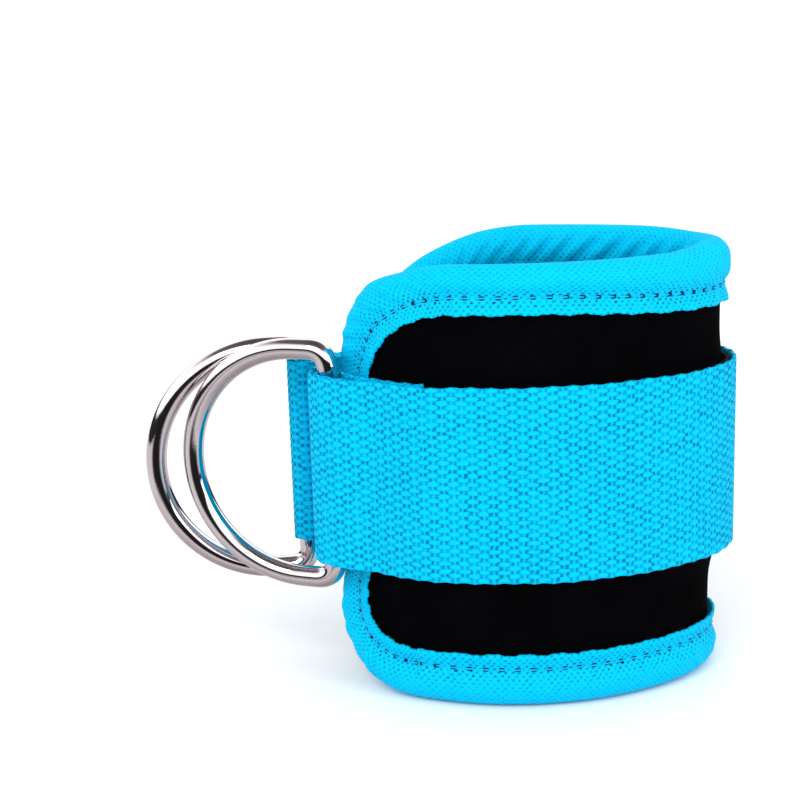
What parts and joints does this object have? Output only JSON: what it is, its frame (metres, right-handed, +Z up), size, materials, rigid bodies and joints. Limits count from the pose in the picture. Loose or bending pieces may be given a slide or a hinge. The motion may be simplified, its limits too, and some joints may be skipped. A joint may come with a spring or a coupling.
{
  "type": "ankle cuff",
  "caption": "Padded ankle cuff closed by a hook-and-loop webbing strap, with D-rings on both pad ends for clipping a cable.",
  "frame": {"origin": "on the floor, under the middle of the whole cuff with its rings", "axes": "+Z up along the leg, -X towards the rings, -Y towards the strap's outer run and the near pad end"},
  "size_m": [0.1568, 0.0688, 0.115],
  "materials": {
    "webbing": "woven polyester webbing, 50 mm",
    "binding": "woven binding tape",
    "neoprene": "matt nylon-faced neoprene",
    "lining": "matt knitted lining",
    "foam": "closed-cell foam",
    "thread": "sewing thread",
    "dark_thread": "sewing thread",
    "hook_tape": "moulded hooks",
    "loop_tape": "brushed loops",
    "ring_steel": "polished plated steel"
  },
  "bodies": {
    "cuff": {"pad_foam_core": "foam", "pad_outer_cover": "neoprene", "pad_inner_lining": "lining", "edge_binding": "binding", "binding_outer_seam": "thread", "binding_inner_seam": "thread", "near_ring_loop": "webbing", "near_loop_outer_seam": "thread", "near_loop_inner_seam": "thread", "far_ring_loop": "webbing", "far_loop_outer_seam": "thread", "far_loop_inner_seam": "thread", "tail_strap": "webbing", "hook_patch": "hook_tape", "hook_patch_seam": "thread", "loop_patch": "loop_tape", "loop_patch_seam": "dark_thread"},
    "near_ring": {"near_d_ring": "ring_steel"},
    "far_ring": {"far_d_ring": "ring_steel"},
    "strap_end": {"tail_free_end": "webbing", "tail_hem_seam": "thread"}
  },
  "joints": [
    {"name": "near_ring_swing", "type": "hinge", "parent": "cuff", "child": "near_ring", "pos_m": [-0.02789, -0.0088, 0.059], "axis": [0, 0, 1], "range_deg": [0, 140]},
    {"name": "far_ring_swing", "type": "hinge", "parent": "cuff", "child": "far_ring", "pos_m": [-0.03555, 0.00982, 0.059], "axis": [0, 0, -1], "range_deg": [0, 110]},
    {"name": "strap_end_lift", "type": "hinge", "parent": "cuff", "child": "strap_end", "pos_m": [0.04381, 0.02924, 0.059], "axis": [0, 0, -1], "range_deg": [0, 100]}
  ]
}
